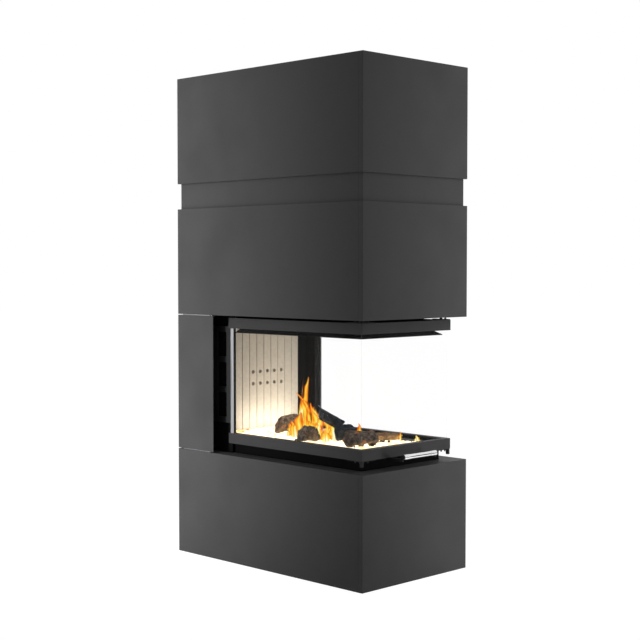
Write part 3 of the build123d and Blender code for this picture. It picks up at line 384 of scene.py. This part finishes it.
wedge = [1.15, 0.7, 1.05, 0.75, 0.95]
block = [1.2, 0.9, 1.15, 1.0, 0.85]
slab = [1.25, 0.7, 0.8, 1.2, 0.65, 0.75]
split_log("back_log", (-0.065, 0.790, 0.036), (0.062, 0.775, 0.040), 0.036, slab, bark, 1.3)
split_log("left_log", (-0.192, 0.505, 0.030), (-0.122, 0.466, 0.030), 0.041, block, bark, 0.4)
split_log("middle_log", (-0.082, 0.402, 0.040), (-0.016, 0.366, 0.038), 0.040, block, char, 2.7, 0.14)
split_log("front_log", (-0.176, 0.235, 0.028), (-0.026, 0.203, 0.030), 0.040, wedge, bark, 5.9)
split_log("thin_log", (-0.030, 0.270, 0.026), (0.150, 0.236, 0.014), 0.028, slab, pale_bark, 3.2)
split_log(
    "leaning_log", (-0.126, 0.452, 0.122), (-0.040, 0.400, 0.066), 0.023, block, char, 4.4, 0.05, 0.0
)


# Embers and coals

def ember_surface():
    """Lumpy bed of embers with a flat underside, in the place of its solid."""
    low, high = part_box("ember_bed")
    thick = high.z - low.z
    across_count, along_count = 110, 216
    rim_slope, bank_width = 0.018, 0.05
    verts, faces = [], []
    for i in range(along_count + 1):
        for j in range(across_count + 1):
            x = low.x + (high.x - low.x) * j / across_count
            y = low.y + (high.y - low.y) * i / along_count
            rim = min(x - low.x, high.x - x, y - low.y, high.y - y)
            lumps = noise.fractal(Vector((x * 38, y * 38, 3.1)), 0.8, 2.0, 4)
            fine = noise.noise(Vector((x * 190, y * 190, 8.0)))
            height = 0.72 + 0.2 * lumps + 0.08 * fine
            height *= min(1.0, 0.25 + rim / rim_slope)
            bank = max(0.0, 1 - (high.y - y) / bank_width)
            z = low.z + thick * max(0.05, min(1.0, height)) * (1 - bank)
            z += bank * thick * (1.32 + 0.06 * fine)
            verts.append((x, y, z))
    width = across_count + 1
    for i in range(along_count):
        for j in range(across_count):
            a = i * width + j
            faces.append((a, a + 1, a + width + 1, a + width))
    border = list(range(width))
    border += [i * width + across_count for i in range(1, along_count + 1)]
    border += [along_count * width + j for j in range(across_count - 1, -1, -1)]
    border += [i * width for i in range(along_count - 1, 0, -1)]
    base = len(verts)
    for index in border:
        verts.append((verts[index][0], verts[index][1], low.z))
    count = len(border)
    for k in range(count):
        n = (k + 1) % count
        faces.append((border[k], base + k, base + n, border[n]))
    faces.append(list(range(base, base + count))[::-1])
    piece = new_piece("ember_surface", verts, faces, embers)
    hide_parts("ember_bed")


ember_surface()


def coals(name, count, sizes, look, seed, spread):
    """Loose lumps of coal lying on the embers, within x and y limits."""
    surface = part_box("ember_bed")[1].z - 0.004
    x_low, x_high, y_low, y_high = spread
    rows, columns = 6, 9
    picker = random.Random(seed)
    verts, faces = [], []
    for _ in range(count):
        cx = picker.uniform(x_low, x_high)
        cy = picker.uniform(y_low, y_high)
        size = picker.uniform(*sizes)
        cz = surface + size * 0.25
        turn = picker.uniform(0, math.tau)
        squash_x, squash_y = picker.uniform(0.8, 1.5), picker.uniform(0.7, 1.1)
        base = len(verts)
        for i in range(rows + 1):
            polar = math.pi * i / rows
            for j in range(columns):
                azimuth = math.tau * j / columns + turn
                direction = Vector((
                    math.sin(polar) * math.cos(azimuth) * squash_x,
                    math.sin(polar) * math.sin(azimuth) * squash_y,
                    math.cos(polar) * 0.75,
                ))
                r = size * 0.5 * (1 + 0.5 * noise.noise(direction * 1.7 + Vector((cx, cy, 0)) * 90))
                verts.append(Vector((cx, cy, cz)) + direction * r)
        for i in range(rows):
            a, b = base + i * columns, base + (i + 1) * columns
            for j in range(columns):
                k = (j + 1) % columns
                faces.append((a + j, b + j, b + k, a + k))
    new_piece(name, verts, faces, look, smooth=False)


coals("coals_dark", 26, (0.008, 0.02), char, 3, (-0.18, 0.18, -0.40, 0.05))
coals("coals_glowing", 90, (0.008, 0.022), embers, 5, (-0.19, 0.19, -0.42, 0.34))


# Flames

def weighted(tree, terms, offset):
    """Weighted sum of some values plus an offset."""
    total = None
    for source, weight in terms:
        step = add_node(tree, "ShaderNodeMath", {"operation": "MULTIPLY_ADD"})
        tree.links.new(source, step.inputs[0])
        step.inputs[1].default_value = weight
        if total is None:
            step.inputs[2].default_value = offset
        else:
            tree.links.new(total, step.inputs[2])
        total = step.outputs[0]
    return total


def flame_material():
    """Flame: pale yellow low in the middle, orange toward edges and tip, ragged see-through rim."""
    made, tree, shader = material("flame", (0.0, 0.0, 0.0), roughness=1.0, specular=0.0)
    coordinates = add_node(tree, "ShaderNodeTexCoord")
    parts = add_node(tree, "ShaderNodeSeparateXYZ")
    tree.links.new(coordinates.outputs["UV"], parts.inputs[0])
    centred = add_node(tree, "ShaderNodeMath", {"operation": "SUBTRACT"})
    tree.links.new(parts.outputs["X"], centred.inputs[0])
    centred.inputs[1].default_value = 0.5
    away = add_node(tree, "ShaderNodeMath", {"operation": "ABSOLUTE"})
    tree.links.new(centred.outputs[0], away.inputs[0])
    sideways, rise = away.outputs[0], parts.outputs["Y"]
    streaks = noise_node(tree, 30.0, 4.0, (1.0, 1.0, 0.32), 0.6)
    heat = weighted(tree, [(sideways, 1.2), (rise, 0.66), (streaks, 1.5)], -0.80)
    color = ramp(tree, heat, [
        (0.12, (1.0, 0.96, 0.60)), (0.36, (1.0, 0.80, 0.08)), (0.60, (1.0, 0.46, 0.02)),
        (0.86, (0.82, 0.11, 0.003)),
    ])
    tree.links.new(color, shader.inputs["Emission Color"])
    shader.inputs["Emission Strength"].default_value = 1.0
    wisps = noise_node(tree, 42.0, 4.0, (1.0, 1.0, 0.28), 0.55)
    cover = weighted(tree, [(sideways, -1.9), (rise, -0.35), (wisps, 2.2)], -0.05)
    tree.links.new(map_range(tree, cover, 0.0, 0.34, 0.0, 0.97), shader.inputs["Alpha"])
    made.surface_render_method = "BLENDED"
    return made


flame = flame_material()


def tongue(verts, faces, corners, place, height, width, lean, facing, seed):
    """One curved flame sheet, added to the lists: broad root, belly and a curling tip."""
    rows, columns = 24, 8
    base = len(verts)
    direction = Vector((math.cos(facing), math.sin(facing), 0))
    outward = Vector((-math.sin(facing), math.cos(facing), 0))
    for i in range(rows + 1):
        t = i / rows
        profile = (0.75 + 0.7 * t) * (1 - t) ** 0.8 + 0.03
        sway = math.sin(seed + t * 5.2) * 0.10 * t + math.sin(seed * 2.3 + t * 11.0) * 0.04 * t
        for j in range(columns + 1):
            u = 2 * j / columns - 1
            ragged = 1 + 0.45 * noise.noise(Vector((seed, t * 6.0, u * 0.7)))
            offset = direction * (u * width * 0.5 * profile * ragged + sway * height)
            cup = outward * ((1 - u * u) * width * 0.10 * profile)
            rise = Vector((lean[0] * t * t, lean[1] * t * t, t * height))
            verts.append(place + offset + cup + rise)
            corners.append((j / columns, t))
    for i in range(rows):
        for j in range(columns):
            a = base + i * (columns + 1) + j
            faces.append((a, a + 1, a + columns + 2, a + columns + 1))


def flames(name, fires, seed):
    """A group of flame tongues.

    Each fire is a place across, a depth behind the front face, a height, a width, a lean and a
    number of sheets.
    """
    root_sunk = 0.004
    toward_corner = math.radians(-45)
    verts, faces, corners = [], [], []
    picker = random.Random(seed)
    for x, depth, height, width, lean, sheets in fires:
        place = Vector((x, front_face + depth, hearth - root_sunk))
        for sheet in range(sheets):
            facing = toward_corner + math.pi * sheet / max(1, sheets) + picker.uniform(-0.2, 0.2)
            shift = Vector((picker.uniform(-1, 1), picker.uniform(-1, 1), 0)) * width * 0.12
            scale = picker.uniform(0.8, 1.0) if sheet else 1.0
            tongue(
                verts, faces, corners, place + shift, height * scale, width, lean, facing,
                picker.uniform(0, math.tau),
            )
    piece = new_piece(name, verts, faces, flame)
    layer = piece.data.uv_layers.new(name="UVMap")
    for loop in piece.data.loops:
        layer.data[loop.index].uv = corners[loop.vertex_index]
    piece.visible_shadow = False


upright = (0.0, 0.0)
flames("flames_tall", [
    (-0.100, 0.602, 0.275, 0.060, (0.02, 0.0), 2),
    (-0.095, 0.580, 0.205, 0.065, (-0.01, 0.02), 2),
    (-0.100, 0.560, 0.175, 0.075, upright, 3),
    (-0.085, 0.540, 0.160, 0.075, (0.01, 0.0), 3),
    (-0.095, 0.515, 0.135, 0.075, upright, 3),
    (-0.085, 0.490, 0.120, 0.070, upright, 2),
    (-0.110, 0.590, 0.120, 0.080, (-0.02, 0.0), 2),
], 3)
flames("flames_low", [
    (-0.070, 0.460, 0.095, 0.070, upright, 3),
    (-0.065, 0.435, 0.085, 0.070, upright, 2),
    (-0.105, 0.640, 0.075, 0.070, (-0.01, 0.0), 2),
    (-0.095, 0.670, 0.060, 0.060, (-0.02, 0.0), 2),
    (-0.060, 0.620, 0.090, 0.080, upright, 2),
    (0.000, 0.700, 0.050, 0.060, upright, 2),
    (-0.120, 0.420, 0.060, 0.060, upright, 2),
    (0.000, 0.345, 0.080, 0.050, upright, 2),
    (-0.090, 0.500, 0.075, 0.110, upright, 3),
    (-0.080, 0.560, 0.080, 0.110, upright, 3),
    (0.010, 0.310, 0.045, 0.040, upright, 2),
    (0.125, 0.205, 0.045, 0.018, upright, 2),
    (0.176, 0.150, 0.028, 0.034, upright, 2),
], 5)


# Air jets of the ceramic panel

jet_heights = (0.786, 0.841)
jet_columns = range(-2, 3)
panel_ribs = 9
funnel_rings = ((-0.002, 0.0100), (0.004, 0.0082), (0.014, 0.0076))


def funnel_cutter():
    """Solid funnels at the jets; each ring is a depth behind the panel's face and a radius."""
    low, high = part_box("ceramic_panel")
    around = 20
    verts, faces = [], []
    for height in jet_heights:
        for column in jet_columns:
            base = len(verts)
            x = column * (high.x - low.x) / panel_ribs
            for depth, radius in funnel_rings:
                for j in range(around):
                    angle = math.tau * j / around
                    place = (x + radius * math.cos(angle), low.y + depth, height + radius * math.sin(angle))
                    verts.append(place)
            last = len(funnel_rings) - 1
            faces += sleeve(base, last, around)
            faces.append([base + j for j in range(around)][::-1])
            faces.append([base + last * around + j for j in range(around)])
    mesh = bpy.data.meshes.new("funnels")
    mesh.from_pydata(verts, [], faces)
    shape = bmesh.new()
    shape.from_mesh(mesh)
    bmesh.ops.recalc_face_normals(shape, faces=shape.faces)
    shape.to_mesh(mesh)
    shape.free()
    cutter = bpy.data.objects.new("funnels", mesh)
    collection.objects.link(cutter)
    return cutter


def drilled_panel():
    """Ceramic panel with its air jets opened out to funnels in the front face."""
    cutter = funnel_cutter()
    panel = bpy.data.objects.new("drilled_panel", nodes["ceramic_panel"].data.copy())
    collection.objects.link(panel)
    panel.matrix_world = nodes["ceramic_panel"].matrix_world
    cut = panel.modifiers.new("cut", "BOOLEAN")
    cut.operation = "DIFFERENCE"
    cut.object = cutter
    cut.solver = "EXACT"
    bpy.context.view_layer.update()
    depsgraph = bpy.context.evaluated_depsgraph_get()
    shaped = bpy.data.meshes.new_from_object(panel.evaluated_get(depsgraph))
    panel.modifiers.clear()
    panel.data = shaped
    bpy.data.objects.remove(cutter)
    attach(panel, "insert")
    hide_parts("ceramic_panel")


drilled_panel()


# Gaskets of the glass channels, partly painted shade

def gaskets_and_channel_shade():
    """Black strip inside each bright channel, and a dark lip along each edge of its front: gaskets, and
    partly painted shade in the channel's inner gap and along its edges.
    """
    low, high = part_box("glass_channels")
    channel_width, thin, lip = 0.012, 0.0015, 0.0032
    skin = 0.0005
    strips = []
    for side in (-1, 1):
        outer = side * (high.x - skin)
        inner = side * (high.x - channel_width)
        strips.append((inner, inner - side * thin, low.y - 0.001, high.y - skin))
        strips.append((outer, outer - side * lip, low.y - thin, low.y - 0.0001))
        strips.append((inner, inner + side * lip, low.y - thin, low.y - 0.0001))
    quads = ((0, 1, 3, 2), (4, 6, 7, 5), (0, 4, 5, 1), (2, 3, 7, 6), (0, 2, 6, 4), (1, 5, 7, 3))
    verts, faces = [], []
    for x_first, x_last, y_low, y_high in strips:
        base = len(verts)
        verts += [
            (x, y, z)
            for x in sorted((x_first, x_last))
            for y in (y_low, y_high)
            for z in (low.z + 0.001, high.z - 0.001)
        ]
        faces += [[base + k for k in quad] for quad in quads]
    # These black strips are partly gaskets and partly painted shade of the channel's gap and edges
    new_piece("gaskets_and_channel_shade", verts, faces, stove_paint, "door", smooth=False)


gaskets_and_channel_shade()


# Floor, backdrop and world

def sharp_rays(tree):
    """One for rays straight from the camera, through glass or off a glossy surface, else zero."""
    path = add_node(tree, "ShaderNodeLightPath")
    first = add_node(tree, "ShaderNodeMath", {"operation": "MAXIMUM"})
    second = add_node(tree, "ShaderNodeMath", {"operation": "MAXIMUM"})
    tree.links.new(path.outputs["Is Camera Ray"], first.inputs[0])
    tree.links.new(path.outputs["Is Transmission Ray"], first.inputs[1])
    tree.links.new(first.outputs[0], second.inputs[0])
    tree.links.new(path.outputs["Is Glossy Ray"], second.inputs[1])
    return second.outputs[0]


def backdrop_material(color, shade, strength):
    """Floor that is white to the camera and keeps part of the object's shadow."""
    made = bpy.data.materials.new("floor")
    made.use_nodes = True
    tree = made.node_tree
    tree.nodes.clear()
    out = add_node(tree, "ShaderNodeOutputMaterial")
    plain = add_node(tree, "ShaderNodeBsdfDiffuse")
    plain.inputs["Color"].default_value = (*color, 1.0)
    glow = add_node(tree, "ShaderNodeEmission")
    glow.inputs["Strength"].default_value = strength
    amount = add_node(tree, "ShaderNodeMath", {"operation": "MULTIPLY"})
    amount.inputs[1].default_value = shade
    tree.links.new(sharp_rays(tree), amount.inputs[0])
    mix = add_node(tree, "ShaderNodeMixShader")
    tree.links.new(amount.outputs[0], mix.inputs[0])
    tree.links.new(plain.outputs[0], mix.inputs[1])
    tree.links.new(glow.outputs[0], mix.inputs[2])
    tree.links.new(mix.outputs[0], out.inputs["Surface"])
    return made


def stage_card(name, corners, look):
    """Four-cornered card with one look, on no body of the part."""
    mesh = bpy.data.meshes.new(name)
    mesh.from_pydata(corners, [], [(0, 1, 2, 3)])
    mesh.materials.append(look)
    card = bpy.data.objects.new(name, mesh)
    collection.objects.link(card)
    return card


reach, drop = 30, 0.0005
floor = stage_card(
    "floor",
    [(-reach, -reach, 0), (reach, -reach, 0), (reach, reach, 0), (-reach, reach, 0)],
    backdrop_material((0.9, 0.9, 0.9), 0.82, 1.17),
)
floor.location.z = -drop

# Dark card, seen only in reflections, that keeps the front bar and the handle from going white
flag = stage_card(
    "flag", [(1.0, -2.3, 0.02), (2.3, -1.6, 0.02), (2.3, -1.6, 1.0), (1.0, -2.3, 1.0)], stove_paint
)
flag.visible_camera = False
flag.visible_diffuse = False
flag.visible_shadow = False
flag.visible_transmission = False


def white_world(ambient):
    """World that is white to sharp rays and lights the object softly."""
    world = bpy.data.worlds.new("world")
    world.use_nodes = True
    tree = world.node_tree
    tree.nodes.clear()
    out = add_node(tree, "ShaderNodeOutputWorld")
    white = add_node(tree, "ShaderNodeBackground")
    white.inputs["Color"].default_value = (1.0, 1.0, 1.0, 1.0)
    soft = add_node(tree, "ShaderNodeBackground")
    soft.inputs["Color"].default_value = (1.0, 1.0, 1.0, 1.0)
    soft.inputs["Strength"].default_value = ambient
    mix = add_node(tree, "ShaderNodeMixShader")
    tree.links.new(sharp_rays(tree), mix.inputs[0])
    tree.links.new(soft.outputs[0], mix.inputs[1])
    tree.links.new(white.outputs[0], mix.inputs[2])
    tree.links.new(mix.outputs[0], out.inputs["Surface"])
    return world


bpy.context.scene.world = white_world(0.28)


# Lights

def new_lamp(name, kind, place, power, color):
    """Lamp hidden from the camera."""
    data = bpy.data.lights.new(name, kind)
    data.energy = power
    data.color = color
    lamp = bpy.data.objects.new(name, data)
    collection.objects.link(lamp)
    lamp.location = place
    lamp.visible_camera = False
    return lamp


def area_lamp(name, place, target, size, power, color=(1.0, 1.0, 1.0)):
    """Rectangular lamp facing a target point."""
    lamp = new_lamp(name, "AREA", place, power, color)
    lamp.data.shape = "RECTANGLE"
    lamp.data.size, lamp.data.size_y = size
    lamp.rotation_mode = "QUATERNION"
    lamp.rotation_quaternion = (Vector(target) - Vector(place)).to_track_quat("-Z", "Y")


middle = (cad_high.z + cad_low.z) / 2
base_middle = 0.32
left_place, left_target = (-1.235, 0.6745), (-0.365, 1.1745)
right_place, right_target = (0.55, -1.4755), (1.05, -0.6055)
tall, short = (0.3, 3.0), (0.3, 0.6)
for name, place, target, height, size, power in (
    ("left_strip", left_place, left_target, middle, tall, 36),
    ("right_strip", right_place, right_target, middle, tall, 23.5),
    ("left_low", left_place, left_target, base_middle, short, 3.5),
    ("right_low", right_place, right_target, base_middle, short, 3.2),
):
    area_lamp(name, (*place, height), (*target, height), size, power)
area_lamp("overhead", (-1.2, -1.2, 4.2), (0, 0, 1.0), (2.5, 2.5), 4)

warm = (1.0, 0.86, 0.70)
area_lamp(
    "ember_glow", (0.0, front_face + 0.83, hearth + 0.025), (0.0, front_face + 0.93, hearth + 0.13),
    (0.36, 0.05), 0.7, warm,
)
fire = new_lamp("fire_middle", "POINT", (0.05, front_face + 0.66, hearth + 0.20), 0.95, warm)
fire.data.shadow_soft_size = 0.05


# Camera

tilt_down, turn = 2.3231, -44.9736
camera_data = bpy.data.cameras.new("camera")
camera_data.lens = 74.717
camera_data.sensor_width = 36.0
camera = bpy.data.objects.new("camera", camera_data)
collection.objects.link(camera)
camera.location = (-4.24816, -4.24920, 1.33447)
camera.rotation_euler = (math.radians(90 - tilt_down), 0, math.radians(turn))
bpy.context.scene.camera = camera

bpy.context.scene.view_settings.view_transform = "Standard"

bpy.context.view_layer.update()
